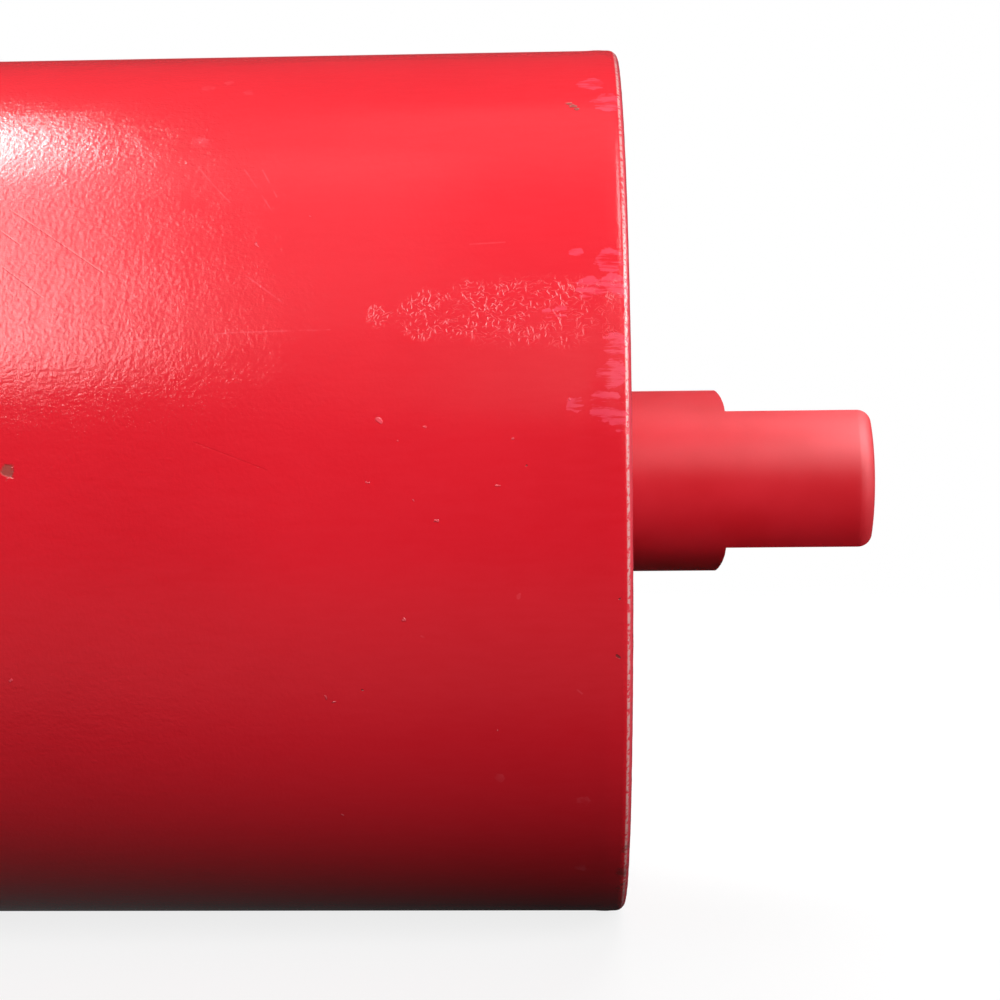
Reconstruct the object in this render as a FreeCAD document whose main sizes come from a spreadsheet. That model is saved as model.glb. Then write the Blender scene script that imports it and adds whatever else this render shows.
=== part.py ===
import FreeCAD, Part
import math
import os

import Sketcher
from FreeCAD import Placement, Rotation, Vector

# Conveyor roller. The axis is X, +Z is up, and the origin is the middle of the roller.
# Every piece of an end is drawn at the right end (+X), and the left end is the same
# piece turned half a turn about Z.

# Driving sizes in millimetres, with one ratio and one count
SIZES = {
    # Tube
    "tube_diameter": 139.7,
    "tube_wall": 4.5,
    "tube_length": 380,
    "tube_edge_round": 1.5,
    "seat_step": 0.6,
    # Shaft
    "shaft_diameter": 30,
    "shaft_overhang": 40.5,
    "shaft_end_round": 2.5,
    "flat_width": 22,
    "flat_length": 23.5,
    "shoulder_round": 8,
    "centre_hole_diameter": 4,
    "centre_hole_depth": 9,
    "centre_cone_diameter": 8.5,
    "centre_cone_depth": 3.9,
    "centre_hole_point": 1.2,
    # Clearances
    "fit_clearance": 0.02,
    "seal_clearance": 0.4,
    "lip_clearance": 0.1,
    "ball_clearance": 0.05,
    "pocket_clearance": 0.25,
    "labyrinth_clearance": 1.5,
    # Pressed bearing housing and its weld
    "housing_thickness": 3.5,
    "rim_inset": 5.5,
    "rim_length": 9,
    "web_dish": 3,
    "bend_radius": 3,
    "stop_height": 5,
    "stop_corner": 0.8,
    "weld_leg": 3.5,
    "weld_crown": 0.6,
    # Deep-groove ball bearing
    "bearing_diameter": 72,
    "bearing_width": 19,
    "bearing_inset": 24,
    "bearing_corner": 1.1,
    "ball_diameter": 12.3,
    "ball_count": 8,
    "race_depth": 2.6,
    "race_ratio": 1.04,
    "cage_thickness": 4,
    "cage_base": 1.6,
    "cage_prong": 4.2,
    # Circlip
    "clip_thickness": 1.5,
    "clip_slack": 0.1,
    "clip_width": 3.5,
    "clip_narrowing": 1,
    "clip_gap": 5,
    "clip_lug_diameter": 5,
    "clip_hole_diameter": 2,
    "groove_depth": 0.7,
    # Labyrinth, lip seal and inner seal
    "hub_wall": 5,
    "fin_thickness": 1.6,
    "rotor_disc": 3,
    "rotor_foot": 2,
    "rotor_wall": 1.5,
    "stator_disc": 3,
    "lip_height": 4,
    "lip_length": 5,
    "lip_heel": 1.2,
    "lip_slope": 2.4,
    "lip_edge": 1,
    "inner_seal_wall": 2.5,
    "inner_seal_flange": 3,
    "inner_seal_collar": 2,
    # Dust cover
    "cover_inset": 3,
    "cover_thickness": 2,
    "cover_overlap": 6,
    "cover_rim": 5,
    "cover_hub_wall": 4,
    "cover_hub_height": 1.5,
    "cover_ridge_inset": 7,
    "cover_ridge_width": 3,
    "cover_ridge_height": 0.9,
    "cover_edge_round": 1.2,
    "cover_hub_round": 0.8,
    "cover_ridge_round": 0.6,
}

# Places worked out from the sizes: distances along the axis from the roller's middle,
# and radii about the axis
LAYOUT = {
    # Tube
    "tube_end": "Sizes.tube_length / 2",
    "tube_radius": "Sizes.tube_diameter / 2",
    "bore_radius": "tube_radius - Sizes.tube_wall",
    "seat_radius": "bore_radius + Sizes.seat_step",
    # Shaft
    "shaft_radius": "Sizes.shaft_diameter / 2",
    "shaft_end": "tube_end + Sizes.shaft_overhang",
    "flat_height": "Sizes.flat_width / 2",
    "flat_runout": "shaft_end + Sizes.flat_length",
    "shoulder_root": "shaft_end - Sizes.flat_length",
    "shoulder_side": "shoulder_root - Sizes.shoulder_round",
    "shoulder_crest": "flat_height + Sizes.shoulder_round",
    "shoulder_top": "shoulder_crest + shaft_radius",
    "centre_hole_radius": "Sizes.centre_hole_diameter / 2",
    "centre_hole_end": "shaft_end - Sizes.centre_hole_depth",
    "centre_hole_tip": "centre_hole_end - Sizes.centre_hole_point",
    "centre_cone_radius": "Sizes.centre_cone_diameter / 2",
    "centre_cone_end": "shaft_end - Sizes.centre_cone_depth",
    # Housing, from the rim's edge inwards to the lip that stops the bearing
    "rim_edge": "tube_end - Sizes.rim_inset",
    "rim_outer": "seat_radius - Sizes.fit_clearance",
    "rim_inner": "rim_outer - Sizes.housing_thickness",
    "web_face": "rim_edge - Sizes.rim_length",
    "web_back": "web_face - Sizes.housing_thickness",
    "mouth_face": "web_face + Sizes.web_dish",
    "mouth_back": "mouth_face - Sizes.housing_thickness",
    "cup_inner": "Sizes.bearing_diameter / 2 + Sizes.fit_clearance",
    "cup_outer": "cup_inner + Sizes.housing_thickness",
    "lip_face": "bearing_back",
    "lip_back": "lip_face - Sizes.housing_thickness",
    "lip_radius": "cup_inner - Sizes.stop_height",
    "outer_bend": "Sizes.bend_radius + Sizes.housing_thickness",
    "lip_bend": "Sizes.stop_corner + Sizes.housing_thickness",
    # Weld between the rim's edge and the tube
    "weld_toe": "rim_edge + Sizes.weld_leg",
    "weld_foot": "rim_outer - Sizes.weld_leg",
    "weld_crown_along": "rim_edge + Sizes.weld_leg * Sizes.weld_crown",
    "weld_crown_radius": "rim_outer - Sizes.weld_leg * Sizes.weld_crown",
    # Bearing
    "bearing_face": "tube_end - Sizes.bearing_inset",
    "bearing_back": "bearing_face - Sizes.bearing_width",
    "bearing_middle": "(bearing_face + bearing_back) / 2",
    "ring_bore": "shaft_radius + Sizes.fit_clearance",
    "ring_outer": "Sizes.bearing_diameter / 2",
    "pitch_radius": "(shaft_radius + ring_outer) / 2",
    "ball_radius": "Sizes.ball_diameter / 2",
    "race_radius": "ball_radius * Sizes.race_ratio",
    "inner_shoulder": "pitch_radius - ball_radius + Sizes.race_depth",
    "outer_shoulder": "pitch_radius + ball_radius - Sizes.race_depth",
    "inner_race": "pitch_radius - ball_radius - Sizes.ball_clearance + race_radius",
    "outer_race": "pitch_radius + ball_radius + Sizes.ball_clearance - race_radius",
    "pocket_radius": "ball_radius + Sizes.pocket_clearance",
    "cage_inner": "pitch_radius - Sizes.cage_thickness / 2",
    "cage_outer": "pitch_radius + Sizes.cage_thickness / 2",
    "cage_back": "bearing_middle - pocket_radius - Sizes.cage_base",
    "cage_front": "bearing_middle + Sizes.cage_prong",
    # Circlip in its groove, against the inner ring
    "groove_back": "bearing_face",
    "groove_front": "bearing_face + Sizes.clip_thickness + Sizes.clip_slack",
    "groove_radius": "shaft_radius - Sizes.groove_depth",
    "clip_back": "bearing_face + Sizes.clip_slack / 2",
    "clip_inner": "groove_radius + Sizes.fit_clearance",
    "clip_shift": "Sizes.clip_narrowing / 2",
    "clip_outer": "clip_inner + Sizes.clip_width - clip_shift",
    "clip_side": "Sizes.clip_gap / 2",
    "clip_lug_radius": "Sizes.clip_lug_diameter / 2",
    "clip_lug_across": "clip_side + clip_lug_radius",
    "clip_lug_along": "sqrt((clip_inner + clip_lug_radius) ^ 2 - clip_lug_across ^ 2)",
    "clip_hole_radius": "Sizes.clip_hole_diameter / 2",
    "clip_gap_top": "clip_outer + Sizes.clip_lug_diameter",
    # Dust cover on the shaft
    "cover_face": "tube_end - Sizes.cover_inset",
    "cover_back": "cover_face - Sizes.cover_thickness",
    "cover_hub_face": "cover_face + Sizes.cover_hub_height",
    "cover_hub_radius": "shaft_radius + Sizes.cover_hub_wall",
    "cover_outer": "cup_inner + Sizes.cover_overlap",
    "cover_rim_inner": "cover_outer - Sizes.cover_thickness",
    "cover_rim_end": "cover_face - Sizes.cover_rim",
    "cover_ridge_face": "cover_face + Sizes.cover_ridge_height",
    "cover_ridge_outer": "cover_outer - Sizes.cover_ridge_inset",
    "cover_ridge_inner": "cover_ridge_outer - Sizes.cover_ridge_width",
    # Labyrinth: rotor in the cup, stator on the shaft, with equal gaps between the fins
    "hub_radius": "shaft_radius + Sizes.hub_wall",
    "hub_back": "groove_front + Sizes.seal_clearance",
    "stator_face": "cover_back",
    "stator_root": "stator_face - Sizes.stator_disc",
    "rotor_back": "bearing_face + Sizes.rotor_foot",
    "rotor_root": "rotor_back + Sizes.rotor_disc",
    "rotor_tip": "stator_root - Sizes.labyrinth_clearance",
    "stator_tip": "rotor_root + Sizes.labyrinth_clearance",
    "rotor_outer": "cup_inner - Sizes.fit_clearance",
    "rotor_wall_inner": "rotor_outer - Sizes.rotor_wall",
    "rotor_foot_inner": "lip_radius",
    "lip_seat": "hub_radius + Sizes.lip_height",
    "fin_gap": "(rotor_wall_inner - lip_seat - 4 * Sizes.fin_thickness) / 4",
    "rotor_fin_inner": "lip_seat + Sizes.fin_thickness",
    "stator_fin_start": "rotor_fin_inner + fin_gap",
    "stator_fin_end": "stator_fin_start + Sizes.fin_thickness",
    "rotor_fin_start": "stator_fin_end + fin_gap",
    "rotor_fin_end": "rotor_fin_start + Sizes.fin_thickness",
    "stator_rim_start": "rotor_fin_end + fin_gap",
    "stator_rim_end": "stator_rim_start + Sizes.fin_thickness",
    "rotor_bore": "hub_radius + Sizes.lip_height / 2",
    # Lip seal in the rotor's bore, with its edge close to the stator's hub
    "lip_outer": "lip_seat - Sizes.fit_clearance",
    "lip_heel_inner": "lip_outer - Sizes.lip_heel",
    "lip_root_inner": "lip_heel_inner - Sizes.lip_edge / 2",
    "lip_front": "rotor_root + Sizes.lip_length",
    "lip_root": "rotor_root + Sizes.lip_edge",
    "lip_edge_front": "lip_root + Sizes.lip_slope",
    "lip_edge_back": "lip_edge_front - Sizes.lip_edge",
    "lip_edge_radius": "hub_radius + Sizes.lip_clearance",
    # Inner seal in the lip's bore
    "inner_seal_outer": "lip_radius - Sizes.fit_clearance",
    "inner_seal_inner": "inner_seal_outer - Sizes.inner_seal_wall",
    "inner_seal_front": "lip_face - Sizes.seal_clearance",
    "inner_seal_rim": "lip_radius + Sizes.inner_seal_flange",
    "inner_seal_back": "lip_back - Sizes.inner_seal_wall",
    "inner_seal_bore": "shaft_radius + Sizes.seal_clearance",
    "inner_seal_collar_radius": "inner_seal_bore + Sizes.inner_seal_collar",
    "inner_seal_collar_front": "lip_back + Sizes.inner_seal_collar",
}

ENDS = {
    "left": Rotation(Vector(0, 0, 1), 180),
    "right": Rotation(),
}
QUARTER_TURN = math.pi / 2
PLACE_TOLERANCE = 1e-4

doc = FreeCAD.newDocument("conveyor_roller")


def fill_sheet(name, cells, mark=""):
    """Write one named cell a row; mark starts a formula."""
    sheet = doc.addObject("Spreadsheet::Sheet", name)
    for row, (alias, content) in enumerate(cells.items(), start=1):
        sheet.set(f"A{row}", alias)
        sheet.set(f"B{row}", f"{mark}{content}")
        sheet.setAlias(f"B{row}", alias)
    doc.recompute()
    return sheet


sizes = fill_sheet("Sizes", SIZES)
layout = fill_sheet("Layout", LAYOUT, mark="=")


def place(cell):
    """Value of a layout cell; "0" is the axis, and a leading minus its other side."""
    if cell == "0":
        return 0.0
    if cell.startswith("-"):
        return -place(cell[1:])
    return float(getattr(layout, cell))


def point_at(across, along):
    return Vector(place(across), place(along), 0)


def new_body(label, turn=Rotation()):
    body = doc.addObject("PartDesign::Body", label)
    body.Label = label
    body.Placement = Placement(Vector(), turn)
    return body


def origin_feature(body, role):
    return next(part for part in body.Origin.OriginFeatures if part.Role == role)


def new_sketch(body, plane, name):
    sketch = body.newObject("Sketcher::SketchObject", name)
    sketch.AttachmentSupport = [(origin_feature(body, plane), "")]
    sketch.MapMode = "FlatFace"
    return sketch


def bind(sketch, constraint, expression):
    index = sketch.addConstraint(constraint)
    sketch.setExpression(f"Constraints[{index}]", expression)


def tie(sketch, kind, axis, curve, point, cell):
    """Tie one coordinate of a point to a layout cell, or keep the point on the axis."""
    if cell == "0":
        sketch.addConstraint(Sketcher.Constraint("PointOnObject", curve, point, axis))
        return
    name = cell.lstrip("-")
    ends = (curve, point, -1, 1) if cell.startswith("-") else (-1, 1, curve, point)
    bind(sketch, Sketcher.Constraint(kind, *ends, place(name)), f"Layout.{name}")


def locate(sketch, curve, point, across, along):
    tie(sketch, "DistanceX", -2, curve, point, across)
    tie(sketch, "DistanceY", -1, curve, point, along)


def draw_lines(sketch, corners, closed=True):
    """Lines through corners that are pairs of layout cells, closed to a loop or left open."""
    count = len(corners)
    lines = count if closed else count - 1
    for index in range(lines):
        start = point_at(*corners[index])
        end = point_at(*corners[(index + 1) % count])
        sketch.addGeometry(Part.LineSegment(start, end), False)
        locate(sketch, index, 1, *corners[index])
    for index in range(lines if closed else lines - 1):
        sketch.addConstraint(Sketcher.Constraint("Coincident", index, 2, (index + 1) % lines, 1))
    if not closed:
        locate(sketch, lines - 1, 2, *corners[-1])


def draw_circle(sketch, across, along, radius):
    circle = Part.Circle(point_at(across, along), Vector(0, 0, 1), place(radius))
    curve = sketch.addGeometry(circle, False)
    locate(sketch, curve, 3, across, along)
    bind(sketch, Sketcher.Constraint("Radius", curve, place(radius)), f"Layout.{radius}")


def turn_sketch(body, sketch, kind, name):
    """Turn a sketch once round the roller's axis, as a Revolution or a Groove."""
    feature = body.newObject(f"PartDesign::{kind}", name)
    feature.Profile = sketch
    feature.ReferenceAxis = (sketch, ["H_Axis"])
    feature.Angle = 360
    doc.recompute()
    return feature


def revolve(body, corners):
    section = new_sketch(body, "XZ_Plane", "Section")
    draw_lines(section, corners)
    turn_sketch(body, section, "Revolution", "Turned")


def revolved_body(label, turn, corners):
    body = new_body(label, turn)
    revolve(body, corners)
    return body


def pad(body, sketch, name, length):
    feature = body.newObject("PartDesign::Pad", name)
    feature.Profile = sketch
    feature.setExpression("Length", length)
    doc.recompute()


def cut_through(body, sketch, name):
    feature = body.newObject("PartDesign::Pocket", name)
    feature.Profile = sketch
    feature.Type = "ThroughAll"
    feature.SideType = "Symmetric"
    doc.recompute()
    return feature


def fillet(body, picked, radius):
    """Round the edges of the body's last feature for which picked is true."""
    base = body.Tip
    edges = [f"Edge{n}" for n, edge in enumerate(base.Shape.Edges, start=1) if picked(edge)]
    feature = body.newObject("PartDesign::Fillet", "Fillet")
    feature.Base = (base, edges)
    feature.setExpression("Radius", radius)
    doc.recompute()


def fillet_rings(body, rings, radius):
    """Round the circles about the axis that lie at the given pairs of layout cells."""
    def picked(edge):
        if not isinstance(edge.Curve, Part.Circle):
            return False
        found = Vector(edge.Curve.Center.x, edge.Curve.Radius, 0)
        return any(found.isEqual(point_at(*ring), PLACE_TOLERANCE) for ring in rings)

    fillet(body, picked, radius)


def mirror(body, plane, feature=None):
    """Mirror one feature of the body, or its whole shape, and make that the body's tip."""
    copy = body.newObject("PartDesign::Mirrored", "Mirrored")
    if feature:
        copy.Originals = [feature]
    else:
        copy.TransformMode = "Whole shape"
    copy.MirrorPlane = (origin_feature(body, plane), [""])
    body.Tip = copy
    doc.recompute()


def make_tube():
    """Tube with a turned seat for the housing at each end, drawn as its right half."""
    tube = new_body("roller_tube")
    revolve(tube, [
        ("0", "bore_radius"),
        ("web_back", "bore_radius"),
        ("web_back", "seat_radius"),
        ("tube_end", "seat_radius"),
        ("tube_end", "tube_radius"),
        ("0", "tube_radius"),
    ])
    fillet_rings(tube, [("tube_end", "tube_radius")], "Sizes.tube_edge_round")
    mirror(tube, "YZ_Plane")
    return tube


def draw_flat(sketch):
    """Side view of one milled flat: a level floor, and a shoulder that rounds over."""
    draw_lines(sketch, [
        ("shoulder_side", "shoulder_crest"),
        ("shoulder_side", "shoulder_top"),
        ("flat_runout", "shoulder_top"),
        ("flat_runout", "flat_height"),
        ("shoulder_root", "flat_height"),
    ], closed=False)
    last_line = 3
    middle = point_at("shoulder_side", "flat_height")
    circle = Part.Circle(middle, Vector(0, 0, 1), float(sizes.shoulder_round))
    arc = sketch.addGeometry(Part.ArcOfCircle(circle, 0, QUARTER_TURN), False)
    sketch.addConstraint(Sketcher.Constraint("Coincident", last_line, 2, arc, 1))
    sketch.addConstraint(Sketcher.Constraint("Coincident", arc, 2, 0, 1))
    bind(sketch, Sketcher.Constraint("Radius", arc, circle.Radius), "Sizes.shoulder_round")


def make_shaft():
    """Round bar with a circlip groove, two flats and a centre hole at each end."""
    shaft = new_body("shaft")
    revolve(shaft, [
        ("0", "0"),
        ("shaft_end", "0"),
        ("shaft_end", "shaft_radius"),
        ("groove_front", "shaft_radius"),
        ("groove_front", "groove_radius"),
        ("groove_back", "groove_radius"),
        ("groove_back", "shaft_radius"),
        ("0", "shaft_radius"),
    ])
    side_view = new_sketch(shaft, "XZ_Plane", "FlatSide")
    draw_flat(side_view)
    flat = cut_through(shaft, side_view, "Flat")
    mirror(shaft, "XY_Plane", flat)

    def on_end_face(edge):
        box = edge.BoundBox
        return box.XMin > place("shaft_end") - PLACE_TOLERANCE

    fillet(shaft, on_end_face, "Sizes.shaft_end_round")
    drill = new_sketch(shaft, "XZ_Plane", "CentreDrill")
    draw_lines(drill, [
        ("centre_hole_tip", "0"),
        ("shaft_end", "0"),
        ("shaft_end", "centre_cone_radius"),
        ("centre_cone_end", "centre_hole_radius"),
        ("centre_hole_end", "centre_hole_radius"),
    ])
    turn_sketch(shaft, drill, "Groove", "CentreHole")
    mirror(shaft, "YZ_Plane")
    return shaft


def make_housing(end, turn):
    """Pressed dish: rim in the tube, dished web, cup for the bearing and a lip behind it."""
    housing = revolved_body(f"{end}_bearing_housing", turn, [
        ("rim_edge", "rim_inner"),
        ("web_face", "rim_inner"),
        ("mouth_face", "cup_inner"),
        ("lip_face", "cup_inner"),
        ("lip_face", "lip_radius"),
        ("lip_back", "lip_radius"),
        ("lip_back", "cup_outer"),
        ("mouth_back", "cup_outer"),
        ("web_back", "rim_outer"),
        ("rim_edge", "rim_outer"),
    ])
    fillet_rings(housing, [("web_face", "rim_inner"), ("mouth_back", "cup_outer")], "Sizes.bend_radius")
    fillet_rings(housing, [("web_back", "rim_outer"), ("mouth_face", "cup_inner")], "Layout.outer_bend")
    fillet_rings(housing, [("lip_face", "cup_inner")], "Sizes.stop_corner")
    fillet_rings(housing, [("lip_back", "cup_outer")], "Layout.lip_bend")
    return housing


def make_weld(end, turn):
    """Fillet bead in the corner between the housing's rim and the tube."""
    return revolved_body(f"{end}_housing_weld", turn, [
        ("rim_edge", "weld_foot"),
        ("weld_crown_along", "weld_crown_radius"),
        ("weld_toe", "rim_outer"),
        ("rim_edge", "rim_outer"),
    ])


def make_ring(label, turn, radii, race, corner_radius):
    """Bearing ring between two radii, with a grooved race and two rounded corners."""
    inner, outer = radii
    ring = revolved_body(label, turn, [
        ("bearing_back", inner),
        ("bearing_face", inner),
        ("bearing_face", outer),
        ("bearing_back", outer),
    ])
    race_section = new_sketch(ring, "XZ_Plane", "RaceSection")
    draw_circle(race_section, "bearing_middle", race, "race_radius")
    turn_sketch(ring, race_section, "Groove", "Race")
    corners = [("bearing_back", corner_radius), ("bearing_face", corner_radius)]
    fillet_rings(ring, corners, "Sizes.bearing_corner")
    return ring


def make_balls(end, turn):
    """The balls of one bearing, evenly spaced on the pitch circle."""
    balls = []
    for index in range(int(sizes.ball_count)):
        angle = f"{index} * 360 / Sizes.ball_count"
        ball = doc.addObject("Part::Sphere", f"{end}_ball")
        ball.setExpression("Radius", "Layout.ball_radius")
        ball.setExpression("Placement.Base.x", "Layout.bearing_middle")
        ball.setExpression("Placement.Base.y", f"Layout.pitch_radius * sin({angle})")
        ball.setExpression("Placement.Base.z", f"Layout.pitch_radius * cos({angle})")
        balls.append(ball)
    group = doc.addObject("Part::Compound", f"{end}_bearing_balls")
    group.Label = group.Name
    group.Links = balls
    group.Placement = Placement(Vector(), turn)
    doc.recompute()
    return group


def make_cage(end, turn):
    """Crown cage: a ring with a round pocket for each ball, open on the outer side."""
    cage = revolved_body(f"{end}_bearing_cage", turn, [
        ("cage_back", "cage_inner"),
        ("cage_front", "cage_inner"),
        ("cage_front", "cage_outer"),
        ("cage_back", "cage_outer"),
    ])
    pocket = cage.newObject("PartDesign::SubtractiveSphere", "BallPocket")
    pocket.setExpression("Radius", "Layout.pocket_radius")
    pocket.setExpression("Placement.Base.x", "Layout.bearing_middle")
    pocket.setExpression("Placement.Base.z", "Layout.pitch_radius")
    doc.recompute()
    pockets = cage.newObject("PartDesign::PolarPattern", "BallPockets")
    pockets.Originals = [pocket]
    pockets.Axis = (origin_feature(cage, "X_Axis"), [""])
    pockets.Angle = 360
    pockets.setExpression("Occurrences", "Sizes.ball_count")
    cage.Tip = pockets
    doc.recompute()
    return cage


def make_circlip(end, turn):
    """External circlip: a ring that narrows to its gap, with two lugs and plier holes."""
    clip = new_body(f"{end}_circlip", turn)
    direction = "-" if end == "left" else ""
    clip.setExpression("Placement.Base.x", f"{direction}Layout.clip_back")
    ring = new_sketch(clip, "YZ_Plane", "Ring")
    draw_circle(ring, "0", "-clip_shift", "clip_outer")
    draw_circle(ring, "0", "0", "clip_inner")
    pad(clip, ring, "RingPad", "Sizes.clip_thickness")
    lugs = new_sketch(clip, "YZ_Plane", "Lugs")
    draw_circle(lugs, "clip_lug_across", "clip_lug_along", "clip_lug_radius")
    draw_circle(lugs, "-clip_lug_across", "clip_lug_along", "clip_lug_radius")
    pad(clip, lugs, "LugPad", "Sizes.clip_thickness")
    gap = new_sketch(clip, "YZ_Plane", "Gap")
    draw_lines(gap, [
        ("-clip_side", "0"),
        ("clip_side", "0"),
        ("clip_side", "clip_gap_top"),
        ("-clip_side", "clip_gap_top"),
    ])
    cut_through(clip, gap, "GapCut")
    holes = new_sketch(clip, "YZ_Plane", "Holes")
    draw_circle(holes, "clip_lug_across", "clip_lug_along", "clip_hole_radius")
    draw_circle(holes, "-clip_lug_across", "clip_lug_along", "clip_hole_radius")
    cut_through(clip, holes, "HoleCut")
    return clip


def make_rotor(end, turn):
    """Half of the labyrinth that turns: a wall in the cup and two fins that face outwards."""
    return revolved_body(f"{end}_labyrinth_rotor", turn, [
        ("bearing_face", "rotor_outer"),
        ("rotor_tip", "rotor_outer"),
        ("rotor_tip", "rotor_wall_inner"),
        ("rotor_root", "rotor_wall_inner"),
        ("rotor_root", "rotor_fin_end"),
        ("rotor_tip", "rotor_fin_end"),
        ("rotor_tip", "rotor_fin_start"),
        ("rotor_root", "rotor_fin_start"),
        ("rotor_root", "rotor_fin_inner"),
        ("rotor_tip", "rotor_fin_inner"),
        ("rotor_tip", "lip_seat"),
        ("rotor_root", "lip_seat"),
        ("rotor_root", "rotor_bore"),
        ("rotor_back", "rotor_bore"),
        ("rotor_back", "rotor_foot_inner"),
        ("bearing_face", "rotor_foot_inner"),
    ])


def make_stator(end, turn):
    """Half of the labyrinth on the shaft: a hub and two fins that face inwards."""
    return revolved_body(f"{end}_labyrinth_stator", turn, [
        ("hub_back", "ring_bore"),
        ("stator_face", "ring_bore"),
        ("stator_face", "stator_rim_end"),
        ("stator_tip", "stator_rim_end"),
        ("stator_tip", "stator_rim_start"),
        ("stator_root", "stator_rim_start"),
        ("stator_root", "stator_fin_end"),
        ("stator_tip", "stator_fin_end"),
        ("stator_tip", "stator_fin_start"),
        ("stator_root", "stator_fin_start"),
        ("stator_root", "hub_radius"),
        ("hub_back", "hub_radius"),
    ])


def make_lip_seal(end, turn):
    """Rubber ring in the rotor's bore with a slanted lip towards the stator's hub."""
    return revolved_body(f"{end}_lip_seal", turn, [
        ("rotor_root", "lip_outer"),
        ("lip_front", "lip_outer"),
        ("lip_front", "lip_heel_inner"),
        ("lip_root", "lip_heel_inner"),
        ("lip_edge_front", "lip_edge_radius"),
        ("lip_edge_back", "lip_edge_radius"),
        ("rotor_root", "lip_root_inner"),
    ])


def make_inner_seal(end, turn):
    """Ring in the lip's bore that closes the cup towards the inside of the tube."""
    return revolved_body(f"{end}_inner_seal", turn, [
        ("inner_seal_front", "inner_seal_outer"),
        ("lip_back", "inner_seal_outer"),
        ("lip_back", "inner_seal_rim"),
        ("inner_seal_back", "inner_seal_rim"),
        ("inner_seal_back", "inner_seal_bore"),
        ("inner_seal_collar_front", "inner_seal_bore"),
        ("inner_seal_collar_front", "inner_seal_collar_radius"),
        ("lip_back", "inner_seal_collar_radius"),
        ("lip_back", "inner_seal_inner"),
        ("inner_seal_front", "inner_seal_inner"),
    ])


def make_dust_cover(end, turn):
    """Ridged cap on the shaft whose rim reaches over the mouth of the housing's cup."""
    cover = revolved_body(f"{end}_dust_cover", turn, [
        ("cover_back", "ring_bore"),
        ("cover_hub_face", "ring_bore"),
        ("cover_hub_face", "cover_hub_radius"),
        ("cover_face", "cover_hub_radius"),
        ("cover_face", "cover_ridge_inner"),
        ("cover_ridge_face", "cover_ridge_inner"),
        ("cover_ridge_face", "cover_ridge_outer"),
        ("cover_face", "cover_ridge_outer"),
        ("cover_face", "cover_outer"),
        ("cover_rim_end", "cover_outer"),
        ("cover_rim_end", "cover_rim_inner"),
        ("cover_back", "cover_rim_inner"),
    ])
    fillet_rings(cover, [("cover_face", "cover_outer")], "Sizes.cover_edge_round")
    fillet_rings(cover, [("cover_hub_face", "cover_hub_radius")], "Sizes.cover_hub_round")
    ridge_edges = [("cover_ridge_face", "cover_ridge_inner"), ("cover_ridge_face", "cover_ridge_outer")]
    fillet_rings(cover, ridge_edges, "Sizes.cover_ridge_round")
    return cover


def make_end(end, turn):
    outer_radii = ("outer_shoulder", "ring_outer")
    inner_radii = ("ring_bore", "inner_shoulder")
    return [
        make_housing(end, turn),
        make_weld(end, turn),
        make_ring(f"{end}_bearing_outer_ring", turn, outer_radii, "outer_race", "ring_outer"),
        make_ring(f"{end}_bearing_inner_ring", turn, inner_radii, "inner_race", "ring_bore"),
        make_balls(end, turn),
        make_cage(end, turn),
        make_circlip(end, turn),
        make_rotor(end, turn),
        make_stator(end, turn),
        make_lip_seal(end, turn),
        make_inner_seal(end, turn),
        make_dust_cover(end, turn),
    ]


def check_document(pieces):
    for item in doc.Objects:
        if "Invalid" in item.State or "Error" in item.State:
            raise RuntimeError(f"{item.Label} failed: {item.State}")
    for piece in pieces:
        if piece.Shape.isNull() or not piece.Shape.isValid():
            raise RuntimeError(f"{piece.Label} has no valid shape")


pieces = [make_tube(), make_shaft()]
for end, turn in ENDS.items():
    pieces += make_end(end, turn)
doc.recompute()
check_document(pieces)

os.makedirs("parts", exist_ok=True)
for piece in pieces:
    piece.Shape.exportStep(f"parts/{piece.Label}.step")
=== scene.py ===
import math

import bmesh
import bpy
from mathutils import Matrix, Vector, noise


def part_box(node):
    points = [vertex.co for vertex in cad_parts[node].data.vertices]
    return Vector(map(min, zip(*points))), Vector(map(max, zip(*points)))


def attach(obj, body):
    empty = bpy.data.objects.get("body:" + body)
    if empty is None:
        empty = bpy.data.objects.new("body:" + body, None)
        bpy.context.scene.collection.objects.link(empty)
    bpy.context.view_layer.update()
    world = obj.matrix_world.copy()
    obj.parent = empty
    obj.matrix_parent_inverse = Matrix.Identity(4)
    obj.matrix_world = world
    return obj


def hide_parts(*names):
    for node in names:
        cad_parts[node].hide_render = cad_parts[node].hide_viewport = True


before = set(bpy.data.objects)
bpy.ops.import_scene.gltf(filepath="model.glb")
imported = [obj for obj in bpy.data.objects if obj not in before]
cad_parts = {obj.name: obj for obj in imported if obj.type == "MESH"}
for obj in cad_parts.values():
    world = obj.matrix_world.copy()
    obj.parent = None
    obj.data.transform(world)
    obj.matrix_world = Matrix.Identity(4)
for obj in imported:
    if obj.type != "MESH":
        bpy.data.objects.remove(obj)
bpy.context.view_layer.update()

# Lengths are in metres. The roller's axis is X, and the origin is its middle.
MM = 0.001
ENDS = ("left", "right")

tube_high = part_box("roller_tube")[1]
housing_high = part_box("right_bearing_housing")[1]
weld_low, weld_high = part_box("right_housing_weld")
TUBE_END = tube_high.x
TUBE_RADIUS = tube_high.z
SHAFT_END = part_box("shaft")[1].x

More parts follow.
